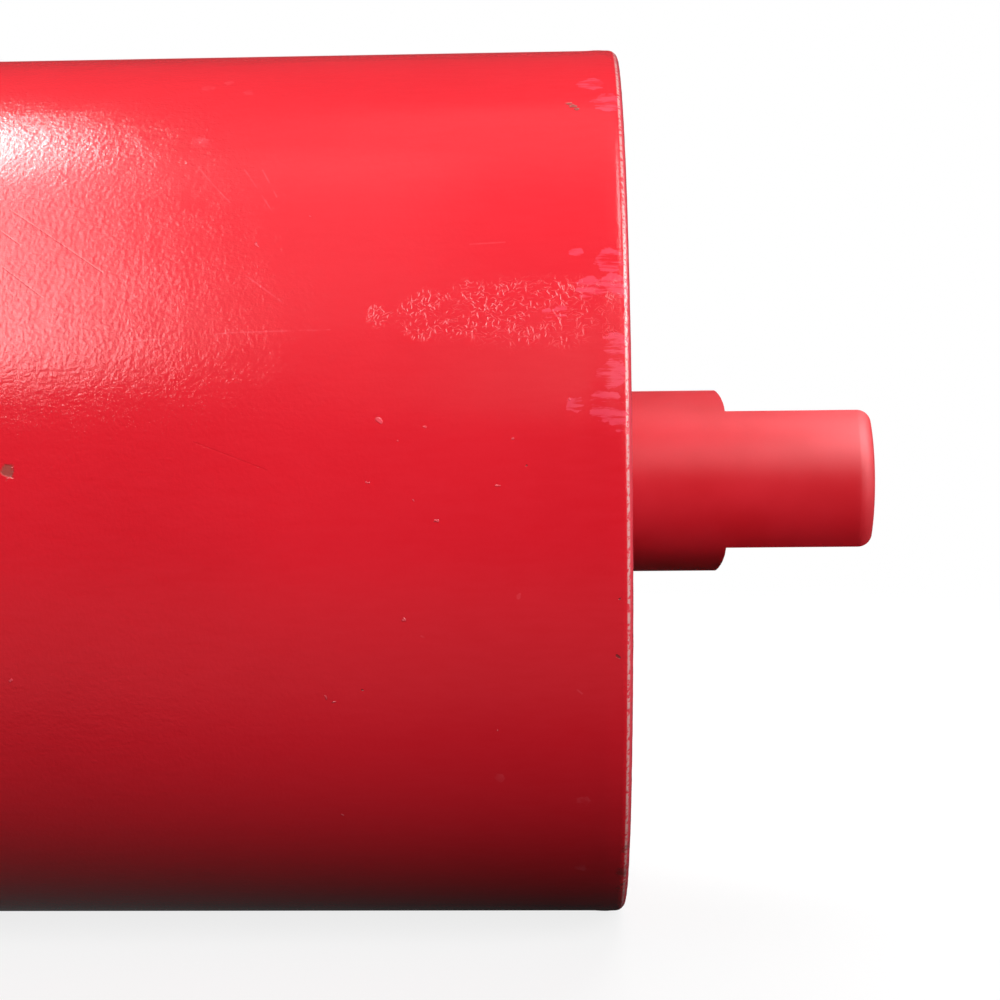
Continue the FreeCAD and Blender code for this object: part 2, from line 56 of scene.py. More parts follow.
# Tube: wall, turned seat at each end, rounded rim and the paint that gathers there
TUBE_WALL = 4.5 * MM
SEAT_DEPTH = 0.6 * MM
SEAT_LENGTH = 18 * MM
RIM_ROUND = 1.5 * MM
RIM_SEGMENTS = 7
BORE_EDGE = 0.4 * MM
BORE_EDGE_SEGMENTS = 2
RIM_STATIONS = [mm * MM for mm in (2.2, 2.9, 3.7, 4.6, 5.8, 7.5, 10, 14)]
TUBE_STEPS = 400
PAINT_BEAD = 0.10 * MM
PAINT_BEAD_PLACE = 3.2 * MM
PAINT_BEAD_SPREAD = 1.1 * MM
PAINT_BEAD_MEAN = 0.6
PAINT_BEAD_UNEVEN = 0.8
PAINT_BEAD_PITCH = 10.4 * MM
RIM_WAVER = 0.04 * MM
RIM_WAVER_REACH = 3.4 * MM
RIM_WAVER_PITCH = 2.6 * MM

# Weld bead: crescent ripples on a crowned fillet
WELD_STEPS = 960
WELD_CUTS = 9
WELD_CROWN = 0.75 * MM
WELD_RIPPLES = 112
WELD_RIPPLE = 0.16 * MM
WELD_WANDER = 0.22 * MM
WELD_WANDER_PITCH = 9 * MM
WELD_STAGGER = 2.5
CRESCENT = 2.4

# Meshes: the angle from which an edge is sharp, and how near counts as the same place
SHARP_ANGLE = math.radians(35)
SAME_RING = 0.01 * MM
SAME_POINT = 0.001 * MM
SAME_SHARE = 0.01


# Pieces made here

def outline(mesh, points):
    """Close a ring of (x, radius) points above the axis with edges."""
    corners = [mesh.verts.new((x, 0, radius)) for x, radius in points]
    return [mesh.edges.new(pair) for pair in zip(corners, corners[1:] + corners[:1])]


def turn_round_axis(mesh, steps):
    """Turn all that is drawn once round the roller's axis into a closed shell."""
    drawn = mesh.verts[:] + mesh.edges[:]
    bmesh.ops.spin(
        mesh, geom=drawn, cent=(0, 0, 0), axis=(1, 0, 0),
        angle=math.tau, steps=steps, use_merge=True,
    )
    bmesh.ops.remove_doubles(mesh, verts=mesh.verts, dist=SAME_POINT)
    bmesh.ops.recalc_face_normals(mesh, faces=mesh.faces)


def radius_of(vert):
    return math.hypot(vert.co.y, vert.co.z)


def round_ring(mesh, x, radius, size, segments):
    """Round the ring of edges that lies at x and radius."""
    def on_ring(vert):
        return abs(vert.co.x - x) < SAME_RING and abs(radius_of(vert) - radius) < SAME_RING

    ring = [edge for edge in mesh.edges if all(on_ring(vert) for vert in edge.verts)]
    bmesh.ops.bevel(
        mesh, geom=ring, offset=size, offset_type="OFFSET", affect="EDGES",
        segments=segments, profile=0.5, material=-1,
    )


def finish_piece(mesh, name, body, slot, *nodes):
    """Make the drawn mesh a smooth object that rides on a body in place of CAD nodes."""
    bmesh.ops.recalc_face_normals(mesh, faces=mesh.faces)
    data = bpy.data.meshes.new(name)
    mesh.to_mesh(data)
    mesh.free()
    data.shade_smooth()
    data.set_sharp_from_angle(angle=SHARP_ANGLE)
    piece = bpy.data.objects.new(name, data)
    bpy.context.scene.collection.objects.link(piece)
    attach(piece, body)
    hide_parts(*nodes)
    return piece


def painted_tube():
    """The tube with its rounded rims, where the paint has gathered in a wavering bead."""
    bore = TUBE_RADIUS - TUBE_WALL
    seat = bore + SEAT_DEPTH
    seat_start = TUBE_END - SEAT_LENGTH
    outside = [TUBE_END - station for station in RIM_STATIONS]
    section = [(-TUBE_END, seat), (-seat_start, seat), (-seat_start, bore)]
    section += [(seat_start, bore), (seat_start, seat), (TUBE_END, seat), (TUBE_END, TUBE_RADIUS)]
    section += [(x, TUBE_RADIUS) for x in outside]
    section += [(-x, TUBE_RADIUS) for x in reversed(outside)]
    section += [(-TUBE_END, TUBE_RADIUS)]
    mesh = bmesh.new()
    outline(mesh, section)
    turn_round_axis(mesh, TUBE_STEPS)
    for x in (-TUBE_END, TUBE_END):
        round_ring(mesh, x, TUBE_RADIUS, RIM_ROUND, RIM_SEGMENTS)
        round_ring(mesh, x, seat, BORE_EDGE, BORE_EDGE_SEGMENTS)
    mesh.normal_update()
    moves = []
    for vert in mesh.verts:
        if radius_of(vert) < seat + BORE_EDGE:
            continue
        from_end = TUBE_END - abs(vert.co.x)
        waver = noise.noise(vert.co / RIM_WAVER_PITCH)
        reach = max(0.0, 1 - from_end / RIM_WAVER_REACH)
        swell = math.exp(-((from_end - PAINT_BEAD_PLACE) / PAINT_BEAD_SPREAD) ** 2)
        swell *= PAINT_BEAD_MEAN + PAINT_BEAD_UNEVEN * noise.noise(vert.co / PAINT_BEAD_PITCH)
        moves.append((vert, vert.normal * (RIM_WAVER * waver * reach + PAINT_BEAD * swell)))
    for vert, move in moves:
        vert.co += move
    return finish_piece(mesh, "painted_tube", "roller", "tube_paint", "roller_tube")


def weld_bead(end):
    """Fillet weld laid round the housing's rim, with a ripple for each puddle of metal."""
    foot = Vector((weld_low.x, 0, housing_high.z - (weld_high.x - weld_low.x)))
    toe = Vector((weld_high.x, 0, weld_high.z))
    mesh = bmesh.new()
    edges = outline(mesh, [(foot.x, foot.z), (toe.x, toe.z), (foot.x, toe.z)])
    bmesh.ops.subdivide_edges(mesh, edges=edges[:1], cuts=WELD_CUTS)
    turn_round_axis(mesh, WELD_STEPS)
    outward = Vector((toe.z - foot.z, 0, foot.x - toe.x)).normalized()
    for vert in mesh.verts:
        across = (vert.co.x - foot.x) / (toe.x - foot.x)
        down = (radius_of(vert) - foot.z) / (toe.z - foot.z)
        if abs(across - down) > SAME_SHARE:
            continue
        angle = math.atan2(vert.co.z, vert.co.y)
        crown = 4 * across * (1 - across)
        wander = noise.noise(vert.co / WELD_WANDER_PITCH)
        phase = angle * WELD_RIPPLES + CRESCENT * crown + WELD_STAGGER * wander
        ripple = abs(math.sin(phase / 2)) * 2 - 1
        height = crown * (WELD_CROWN + WELD_WANDER * wander + WELD_RIPPLE * ripple)
        turn = Matrix.Rotation(angle - math.pi / 2, 3, "X")
        vert.co += turn @ outward * height
    if end == "left":
        half_turn = Matrix.Rotation(math.pi, 3, "Z")
        bmesh.ops.rotate(mesh, verts=mesh.verts, cent=(0, 0, 0), matrix=half_turn)
    return finish_piece(mesh, f"{end}_weld_bead", "roller", "housing_paint", f"{end}_housing_weld")


# Finishes

def shade(red, green, blue):
    """A colour as a paint chart gives it, 0 to 255, as the linear values a shader takes."""
    def linear(step):
        part = step / 255
        return part / 12.92 if part <= 0.04045 else ((part + 0.055) / 1.055) ** 2.4

    return (linear(red), linear(green), linear(blue), 1)


class Finish:
    """A procedural material, put together from patterns that lie on the object itself."""

    def __init__(self, name):
        self.material = bpy.data.materials.new(name)
        self.material.use_nodes = True
        self.tree = self.material.node_tree
        self.shader = self.tree.nodes["Principled BSDF"]
        self.place = self.add("TexCoord").outputs["Object"]

    def add(self, kind, inputs=(), **settings):
        """Add a node; each input is a number or colour to set, or a socket to join."""
        node = self.tree.nodes.new(f"ShaderNode{kind}")
        for name, value in settings.items():
            setattr(node, name, value)
        for name, value in dict(inputs).items():
            self.join(node.inputs[name], value)
        return node

    def join(self, socket, value):
        if isinstance(value, bpy.types.NodeSocket):
            self.tree.links.new(value, socket)
        else:
            socket.default_value = value

    def sum(self, operation, *values, clamp=False):
        node = self.add("Math", enumerate(values), operation=operation, use_clamp=clamp)
        return node.outputs[0]

    def times(self, *values):
        product = values[0]
        for value in values[1:]:
            product = self.sum("MULTIPLY", product, value)
        return product

    def plus(self, *values):
        total = values[0]
        for value in values[1:]:
            total = self.sum("ADD", total, value)
        return total

    def axes(self):
        return self.add("SeparateXYZ", {"Vector": self.place}).outputs

    def from_end(self, end):
        """Distance inwards from the end of a piece that reaches as far left as right."""
        return self.sum("SUBTRACT", end, self.sum("ABSOLUTE", self.axes()[0]))

    def stretched(self, scale):
        return self.add("Mapping", {"Vector": self.place, "Scale": scale}).outputs[0]

    def grain(self, size, detail=2.0, roughness=0.5, at=None):
        """Noise whose grains are about this size."""
        inputs = {"Vector": at or self.place, "Scale": 1 / size, "Detail": detail, "Roughness": roughness}
        return self.add("TexNoise", inputs).outputs[0]

    def strokes(self, places, pitch, length, width):
        """Short straight strokes about a pitch apart, leaning all ways, with four in ten left out."""
        cells = self.add("TexVoronoi", {"Vector": places, "Scale": 1 / pitch}, voronoi_dimensions="2D")
        inputs = {0: places, 1: cells.outputs["Position"]}
        away = self.add("VectorMath", inputs, operation="SUBTRACT").outputs[0]
        chance = self.add("RGBToBW", {"Color": cells.outputs["Color"]}).outputs[0]
        inputs = {"Vector": away, "Angle": self.times(chance, 4 * math.pi)}
        leaning = self.add("VectorRotate", inputs, rotation_type="Z_AXIS").outputs[0]
        along, across, _ = self.add("SeparateXYZ", {"Vector": leaning}).outputs
        reach = self.fade(self.sum("ABSOLUTE", along), 0.5 * length, 0.3 * length)
        stroke = self.times(reach, self.fade(self.sum("ABSOLUTE", across), 0.5 * width, 0.0))
        return self.times(stroke, self.fade(chance, 0.42, 0.46))

    def fade(self, value, none, full):
        """0 at none, 1 at full, and a smooth step between them."""
        inputs = {"Value": value, "From Min": none, "From Max": full}
        return self.add("MapRange", inputs, interpolation_type="SMOOTHSTEP").outputs[0]

    def scale(self, value, low, high):
        """Spread a 0 to 1 value between low and high."""
        inputs = {"Value": value, "To Min": low, "To Max": high}
        return self.add("MapRange", inputs).outputs[0]

    def blend(self, amount, under, over):
        node = self.add("Mix", {0: amount, 6: under, 7: over}, data_type="RGBA")
        return node.outputs[2]

    def unrolled(self):
        """The tube's skin laid flat: metres along it, and metres up round it from the front.

        The back is folded over the front by half a turn, so both sides carry the same marks.
        """
        x, y, z = self.axes()
        angle = self.sum("ARCTAN2", z, self.sum("ABSOLUTE", y))
        along = self.times(x, self.sum("SIGN", y), -1.0)
        return self.add("CombineXYZ", {"X": along, "Y": self.times(angle, TUBE_RADIUS)}).outputs[0]

    def ragged(self, places, size, reach):
        """Flat places pushed about by up to half the reach, for edges that wander."""
        inputs = {"Vector": self.place, "Scale": 1 / size, "Detail": 2.0}
        push = self.add("TexNoise", inputs).outputs[1]
        push = self.add("VectorMath", {0: push, 1: (0.5, 0.5, 0.5)}, operation="SUBTRACT").outputs[0]
        inputs = {0: push, 1: (reach, reach, 0), 2: places}
        return self.add("VectorMath", inputs, operation="MULTIPLY_ADD").outputs[0]

    def spots(self, places, spots, core=0.6):
        """Patches round given centres, each with its own size, which are full over the core's share of it."""
        total = 0.0
        for centre, size in spots:
            away = self.add("VectorMath", {0: places, 1: centre}, operation="DISTANCE")
            patch = self.fade(away.outputs["Value"], size, core * size)
            total = self.sum("MAXIMUM", patch, total)
        return total

    def hairlines(self, places, runs, width):
        """Fine lines, each from one place to another."""
        total = 0.0
        for start, end in runs:
            run = Vector(end) - Vector(start)
            passed = self.add("VectorMath", {0: places, 1: start}, operation="SUBTRACT").outputs[0]
            inputs = {0: passed, 1: run / run.length_squared}
            share = self.add("VectorMath", inputs, operation="DOT_PRODUCT").outputs["Value"]
            share = self.sum("ADD", share, 0.0, clamp=True)
            nearest = self.add("VectorMath", {0: run, "Scale": share}, operation="SCALE").outputs[0]
            away = self.add("VectorMath", {0: passed, 1: nearest}, operation="DISTANCE")
            line = self.fade(away.outputs["Value"], width, 0.0)
            total = self.sum("MAXIMUM", line, total)
        return total

    def start(self, colour, relief, roughness):
        """The bare coat: its colour, its height in millimetres and its roughness."""
        self.colour, self.relief, self.roughness = colour, relief, roughness

    def lay(self, mask, colour, share, height=0.0, rough=0.0):
        """Lay a mark over the coat: its colour by this share, its height in millimetres, its roughness."""
        self.colour = self.blend(self.times(mask, share), self.colour, colour)
        if height:
            self.relief = self.plus(self.relief, self.times(mask, height))
        if rough:
            self.roughness = self.plus(self.roughness, self.times(mask, rough))

    def finish(self, **constants):
        """Join the finished coat to the shader."""
        bump = self.add("Bump", {"Height": self.relief, "Distance": MM, "Strength": 1.0})
        self.join(self.shader.inputs["Base Color"], self.colour)
        self.join(self.shader.inputs["Roughness"], self.roughness)
        self.join(self.shader.inputs["Normal"], bump.outputs[0])
        for name, value in constants.items():
            self.shader.inputs[name.replace("_", " ")].default_value = value
        return self.material


RED = shade(232, 27, 42)
RED_DEEP = shade(220, 23, 37)
RED_PALE = shade(240, 50, 66)
# Pale red: the real colour of scratches and dabs, and a painted highlight on rims, wrinkles, nibs and the
# shaft's end
RED_EDGE_AND_HIGHLIGHT = shade(246, 90, 104)
RED_SCUFFED = shade(238, 66, 94)
# Dull red: the real colour of grooves, and painted shade at the shaft's ends
RED_DULL_AND_SHADE = shade(196, 22, 34)
SHAFT_RED = shade(222, 30, 44)
SHAFT_RED_DEEP = shade(214, 23, 36)
HOUSING_RED = shade(206, 24, 36)
HOUSING_RED_DEEP = shade(176, 16, 26)
# Primer on the rubbed rim edge, laid on strong so that it is also a painted highlight
PRIMER_AND_HIGHLIGHT = shade(230, 190, 186)
RUST = shade(146, 84, 74)
GRIME = shade(62, 52, 48)


def on_tube(x, angle):
    """A place on the unrolled tube: millimetres along it, and degrees up from the front."""
    return (x * MM, TUBE_RADIUS * math.radians(angle), 0)


def marks(*places):
    """Places on the tube, each with the size of the mark there in millimetres."""
    return [(on_tube(x, angle), size * MM) for x, angle, size in places]


def runs(*lines):
    """Lines on the tube, each from one place to another."""
    return [(on_tube(*line[:2]), on_tube(*line[2:])) for line in lines]


CHIPS = marks((108.6, 0.9, 1.1), (182.1, 49.8, 0.5), (182.8, 49.1, 0.55), (183.4, 48.4, 0.45))
# Raised nibs in the paint; their pale colour is a painted glint
NIBS_AND_GLINTS = marks(
    (157.3, 6.0, 0.4), (163.3, 5.1, 0.2), (182.0, 8.0, 0.25), (160.0, -15.7, 0.3),
    (149.2, -24.8, 0.2), (150.3, -25.3, 0.2), (159.6, 3.7, 0.2), (174.6, 3.8, 0.25),
    (147.1, 30.4, 0.2), (140.3, 26.6, 0.25), (107.1, -22.3, 0.3), (171.9, -29.2, 0.2),
    (164.6, -4.8, 0.22), (161.6, -2.6, 0.18), (155.7, -0.5, 0.18), (172.6, -1.0, 0.2), (149.7, -42.0, 0.22),
)
SPECKS = marks((188.2, -13.4, 0.22), (188.1, -20.0, 0.26), (176.2, 1.2, 0.2), (154.1, -23.8, 0.22))
DABS = marks(
    (129.4, 55.8, 1.2), (132.3, 57.4, 0.9), (135.6, 54.1, 1.1), (130.6, 42.6, 1.6),
    (183.3, -39.7, 1.2), (172.0, -36.0, 0.9), (183.1, -53.7, 1.0), (175.2, -13.1, 0.4),
)
SMUDGES = marks((190.0, -55.0, 2.4), (190.0, -60.0, 2.2), (189.6, -49.5, 1.2))
SCUFFED = marks(
    (185.4, 55.0, 2.8), (188.0, 50.0, 3.4), (183.1, 25.1, 1.3), (187.4, 24.0, 2.6), (184.7, 20.6, 2.6),
    (187.8, 20.5, 3.2), (180.8, 17.9, 1.4), (179.2, 17.7, 0.9), (188.2, 13.8, 2.8), (187.4, 10.8, 2.8),
    (186.4, 7.4, 2.8), (182.6, 7.4, 1.5), (188.6, 6.2, 2.6),
)
# Patch of real wrinkles, whose strokes are also painted paler as painted glints
WRINKLES_AND_GLINTS = marks(
    (157, 17.6, 2), (163, 17.6, 4.4), (169, 17.8, 6), (175, 18.0, 6.4), (181, 18.0, 6.4), (187, 18, 5.8),
)
GROOVES = runs(
    (106.0, 32.0, 119.9, 23.3), (105.3, 29.0, 108.2, 27.1), (106.3, 24.2, 112.2, 20.3),
    (133.0, 3.9, 142.6, 0.8), (40.0, -20.0, 66.0, -32.0), (-60.0, 24.0, -36.0, 12.0),
)
SCRATCHES = runs(
    (129.3, 40.1, 134.5, 34.2), (134.5, 34.2, 136.1, 32.6), (137.5, 37.7, 142.1, 31.0),
    (140.0, 37.6, 142.4, 33.3), (113.6, 47.3, 117.6, 43.9), (121.1, 42.8, 125.5, 39.1),
    (138.7, 23.0, 144.3, 19.3), (122.6, 14.9, 137.5, 15.9), (137.5, 15.9, 150.6, 16.1),
    (168.9, 26.3, 173.5, 26.5), (182.3, -23.7, 183.2, -24.4), (162.2, -17.4, 163.0, -17.7),
)

# Relief of the tube's coat, in millimetres
SKIN_NEAR_ENDS = 0.012
SKIN_INWARDS = 0.058
SKIN_ON_RIMS = 0.09


def lay_tube_skin(paint, patches, grains, from_end):
    """The coat itself: drawn out thin near the ends, grainier inwards and heaped on the rims, with a painted
    highlight along each rim's edge.
    """
    clouds = paint.grain(60 * MM, detail=3)
    drags = paint.grain(0.9 * MM, detail=2, at=paint.stretched((0.22, 1, 1)))
    speckle = paint.grain(0.35 * MM, detail=1)
    thick = paint.scale(paint.fade(from_end, 5 * MM, 85 * MM), SKIN_NEAR_ENDS, SKIN_INWARDS)
    rim = paint.times(paint.fade(from_end, 2.4 * MM, 0.6 * MM), SKIN_ON_RIMS)
    skin = paint.plus(paint.times(thick, paint.scale(patches, 0.3, 1.7)), rim)
    paint.start(
        paint.blend(paint.fade(clouds, 0.3, 0.7), RED_DEEP, RED),
        paint.times(grains, skin), paint.scale(clouds, 0.12, 0.19),
    )
    paint.lay(drags, RED_PALE, 0.25, height=0.014)
    paint.lay(speckle, RED_PALE, 0.12, height=0.004)
    # Painted highlight: a pale band along each rim's rounded edge
    paint.lay(paint.fade(from_end, 1.0 * MM, 0.5 * MM), RED_EDGE_AND_HIGHLIGHT, 0.6)


def lay_tube_wear(paint, patches, grains, from_end, flat, ragged):
    """Scratches and grooves, the patch of wrinkles with painted glints on its strokes, scuffs near the rim,
    and the rim's edge rubbed through to primer, laid on strong enough to be a painted highlight too.
    """
    scratches = paint.times(paint.hairlines(flat, SCRATCHES, 0.2 * MM), paint.fade(patches, 0.4, 0.6))
    paint.lay(scratches, RED_EDGE_AND_HIGHLIGHT, 0.35)
    paint.lay(paint.hairlines(flat, GROOVES, 0.16 * MM), RED_DULL_AND_SHADE, 0.3, height=-0.013)

    fine = paint.strokes(flat, 0.5 * MM, 0.75 * MM, 0.18 * MM)
    bold = paint.strokes(flat, 0.8 * MM, 1.1 * MM, 0.2 * MM)
    # Painted glints: the wrinkle strokes are painted paler as well as raised
    wrinkles_and_glints = paint.times(paint.spots(ragged, WRINKLES_AND_GLINTS), paint.fade(patches, 0.28, 0.55))
    paint.lay(paint.times(paint.sum("MAXIMUM", fine, bold), wrinkles_and_glints), RED_EDGE_AND_HIGHLIGHT, 0.3, height=0.022)

    smears = paint.grain(1.1 * MM, detail=4, roughness=0.65, at=paint.stretched((0.15, 1, 1)))
    scuffs = paint.plus(smears, paint.times(paint.spots(ragged, SCUFFED), 0.41))
    paint.lay(paint.fade(scuffs, 0.84, 0.96), RED_SCUFFED, 0.6, rough=0.1)
    # The rim's edge rubbed through to primer, which also serves as a painted highlight line
    edge = paint.times(paint.fade(from_end, 0.9 * MM, 0.7 * MM), paint.fade(from_end, 0.35 * MM, 0.55 * MM))
    worn_and_highlight = paint.times(paint.fade(grains, 0.38, 0.54), edge)
    paint.lay(worn_and_highlight, PRIMER_AND_HIGHLIGHT, 0.7)


def lay_tube_marks(paint, patches, ragged):
    """Dabs, chips to the rust, nibs painted pale as painted glints, specks of dirt and smudges."""
    dabs = paint.times(paint.spots(ragged, DABS), paint.fade(patches, 0.35, 0.65))
    paint.lay(dabs, RED_EDGE_AND_HIGHLIGHT, 0.3)
    paint.lay(paint.spots(ragged, CHIPS), RUST, 0.75, height=-0.12)
    # Painted glints: the nibs are raised and painted pale
    paint.lay(paint.spots(ragged, NIBS_AND_GLINTS), RED_EDGE_AND_HIGHLIGHT, 0.7, height=0.08)
    paint.lay(paint.spots(ragged, SPECKS), GRIME, 0.7, height=-0.05)
    smudges = paint.times(paint.spots(ragged, SMUDGES), paint.fade(patches, 0.35, 0.6))
    paint.lay(smudges, GRIME, 0.6, rough=0.3)


def tube_paint():
    """Glossy enamel laid on thick, with all that has happened to it since, and painted highlights on its
    rims, wrinkles and nibs.
    """
    paint = Finish("tube_paint")
    patches = paint.grain(3 * MM, detail=3)
    grains = paint.grain(0.6 * MM, detail=3, roughness=0.62)
    from_end = paint.from_end(TUBE_END)
    flat = paint.unrolled()
    ragged = paint.ragged(flat, 1.2 * MM, 1.6 * MM)
    lay_tube_skin(paint, patches, grains, from_end)
    lay_tube_wear(paint, patches, grains, from_end, flat, ragged)
    lay_tube_marks(paint, patches, ragged)
    return paint.finish(Specular_IOR_Level=0.5)


def shaft_paint():
    """Satin enamel sprayed thin on the turned bar, with painted shade darkening it towards the ends and a
    faint painted highlight on each end's rounding.
    """
    paint = Finish("shaft_paint")
    clouds = paint.grain(9 * MM, detail=4)
    turning = paint.grain(0.6 * MM, detail=2, at=paint.stretched((1, 0.04, 0.04)))
    dust = paint.grain(0.25 * MM, detail=2)
    paint.start(
        paint.blend(paint.fade(clouds, 0.3, 0.7), SHAFT_RED_DEEP, SHAFT_RED),
        paint.plus(paint.times(turning, 0.003), paint.times(clouds, 0.03)),
        paint.scale(clouds, 0.34, 0.44),
    )
    from_end = paint.from_end(SHAFT_END)
    # Painted shade: the shaft darkens towards each end
    paint.lay(paint.fade(from_end, 38 * MM, 4 * MM), RED_DULL_AND_SHADE, 0.25)
    # Painted highlight: a faint paler band on each end's rounding, which is also rougher
    paint.lay(paint.fade(from_end, 3.4 * MM, 1.6 * MM), RED_EDGE_AND_HIGHLIGHT, 0.05, rough=0.2)
    paint.lay(dust, RED_PALE, 0.1, height=0.004)
    return paint.finish(Specular_IOR_Level=0.5)


def housing_paint():
    """Thin enamel on pressed sheet and weld, with patches of dust."""
    paint = Finish("housing_paint")
    clouds = paint.grain(14 * MM, detail=4)
    peel = paint.grain(0.9 * MM, detail=2)
    dust = paint.grain(3 * MM, detail=5, roughness=0.65)
    paint.start(
        paint.blend(paint.fade(clouds, 0.3, 0.7), HOUSING_RED_DEEP, HOUSING_RED),
        paint.plus(paint.times(peel, 0.03), paint.times(clouds, 0.06)),
        paint.scale(dust, 0.32, 0.62),
    )
    paint.lay(paint.fade(dust, 0.5, 0.72), GRIME, 0.28, height=0.01)
    return paint.finish(Specular_IOR_Level=0.45)


def steel(name, bright, dark, roughness, turned_at):
    """Ground steel with rings from the wheel and a film of oil."""
    metal = Finish(name)
    rings = metal.grain(turned_at, detail=3, at=metal.stretched((1, 0.05, 0.05)))
    film = metal.grain(6 * MM, detail=4)
    low, high = roughness
    metal.start(
        metal.blend(metal.fade(film, 0.3, 0.7), dark, bright),
        metal.plus(metal.times(rings, 0.004), metal.times(film, 0.002)),
        metal.scale(film, low, high),
    )
    return metal.finish(Metallic=1.0)


def moulded(name, body, bloom, grain_size, roughness):
    """Moulded nylon or rubber: a fine spark-eroded grain, flow marks and handled patches."""
    plastic = Finish(name)
    texture = plastic.grain(grain_size, detail=2)
    flow = plastic.grain(11 * MM, detail=4)
    handled = plastic.grain(2.2 * MM, detail=5, roughness=0.6)
    low, high = roughness
    plastic.start(
        plastic.blend(plastic.fade(flow, 0.35, 0.7), body, bloom),
        plastic.plus(plastic.times(texture, 0.02), plastic.times(flow, 0.03)),
        plastic.scale(handled, low, high),
    )
    plastic.lay(plastic.fade(handled, 0.6, 0.75), bloom, 0.3)
    return plastic.finish(Specular_IOR_Level=0.4)


# Stage

# The floor's reach and its gap under the tube, how pale it is, the light it throws back, and the dim room
FLOOR_REACH = 6
FLOOR_GAP = 0.2 * MM
PAPER = 0.8
FLOOR_BOUNCE = 0.03
ROOM_LIGHT = 0.05
ROOM_GLOSS = 0.06

# Near the roller the floor shows its shadow, and farther off it fades into the white
FLOOR_FADE = {"From Min": 0.25, "From Max": 1.1, "To Min": 0.82, "To Max": 1.0}

# Mirrored in the paint, the floor is greyer on the window's side and has a pale strip in front of the tube
FLOOR_SHEEN = {"From Min": 0.09, "From Max": 0.18, "To Min": 0.07, "To Max": 0.02}
FLOOR_STRIP_NEAR = {"From Min": -0.075, "From Max": -0.100, "To Min": 0.0, "To Max": 0.14}
FLOOR_STRIP_FAR = {"From Min": -0.150, "From Max": -0.260, "To Min": 0.14, "To Max": 0.0}

# What the lamps look at: the end of the tube that the photograph shows
AIM = Matrix.Translation((0.14, -0.05, 0.02))

# Window that the paint mirrors: panes one above another, placed in degrees, each dimmer than the one below
WINDOW_PANES = 4
WINDOW_AZIMUTH = -32
PANE_LOWEST = 34
PANE_PITCH = 16
PANE_SIZE = (0.62, 0.28)
PANE_BRIGHTNESS = 10
PANE_DIMMING = 1.3

# The photograph's lens and place; the camera is turned left, tilted up from level and rolled, in degrees
LENS_MM = 65.88
SENSOR_MM = 36
CAMERA_PLACE = (0.18136, -0.30587, -0.00402)
CAMERA_LEFT = 2.074
CAMERA_UP = 0.205
CAMERA_ROLL = -0.530


def mix_of(tree, amount, under, over):
    """Mix two shaders by a socket's amount."""
    mix = tree.nodes.new("ShaderNodeMixShader")
    tree.links.new(amount, mix.inputs["Fac"])
    tree.links.new(under, mix.inputs[1])
    tree.links.new(over, mix.inputs[2])
    return mix.outputs[0]


def even_light(tree, kind, level):
    node = tree.nodes.new(f"ShaderNode{kind}")
    node.inputs["Color"].default_value = (level, level, level, 1)
    return node.outputs[0]


def ranged(tree, value, limits):
    """A value carried from one range to another."""
    node = tree.nodes.new("ShaderNodeMapRange")
    for name, limit in limits.items():
        node.inputs[name].default_value = limit
    tree.links.new(value, node.inputs["Value"])
    return node.outputs[0]


def worked_out(tree, operation, first, second):
    node = tree.nodes.new("ShaderNodeMath")
    node.operation = operation
    tree.links.new(first, node.inputs[0])
    tree.links.new(second, node.inputs[1])
    return node.outputs[0]


def studio_floor():
    """Pale floor that the tube lies on; the lens sees it near white, with a faint shadow."""
    mesh = bmesh.new()
    bmesh.ops.create_grid(mesh, x_segments=1, y_segments=1, size=FLOOR_REACH)
    bmesh.ops.translate(mesh, verts=mesh.verts, vec=(0, 0, -TUBE_RADIUS - FLOOR_GAP))
    data = bpy.data.meshes.new("floor")
    mesh.to_mesh(data)
    mesh.free()
    floor = bpy.data.objects.new("floor", data)
    bpy.context.scene.collection.objects.link(floor)
    material = bpy.data.materials.new("floor_paper")
    material.use_nodes = True
    tree = material.node_tree
    tree.nodes.clear()
    path = tree.nodes.new("ShaderNodeLightPath")
    paper = even_light(tree, "BsdfDiffuse", PAPER)
    shaded = even_light(tree, "BsdfDiffuse", FLOOR_BOUNCE)
    place = tree.nodes.new("ShaderNodeTexCoord")
    away = tree.nodes.new("ShaderNodeVectorMath")
    away.operation = "LENGTH"
    tree.links.new(place.outputs["Object"], away.inputs[0])
    axes = tree.nodes.new("ShaderNodeSeparateXYZ")
    tree.links.new(place.outputs["Object"], axes.inputs[0])
    fading = ranged(tree, away.outputs["Value"], FLOOR_FADE)
    sheen = ranged(tree, axes.outputs["X"], FLOOR_SHEEN)
    near = ranged(tree, axes.outputs["Y"], FLOOR_STRIP_NEAR)
    far = ranged(tree, axes.outputs["Y"], FLOOR_STRIP_FAR)
    strip = worked_out(tree, "MINIMUM", near, far)
    glow = worked_out(tree, "ADD", sheen, strip)
    mirrored = mix_of(tree, glow, even_light(tree, "Emission", 0), even_light(tree, "Emission", 1))
    seen = mix_of(tree, fading, paper, even_light(tree, "Emission", 1))
    surface = mix_of(tree, path.outputs["Is Glossy Ray"], shaded, mirrored)
    surface = mix_of(tree, path.outputs["Is Transmission Ray"], surface, seen)
    surface = mix_of(tree, path.outputs["Is Camera Ray"], surface, seen)
    output = tree.nodes.new("ShaderNodeOutputMaterial")
    tree.links.new(surface, output.inputs["Surface"])
    data.materials.append(material)


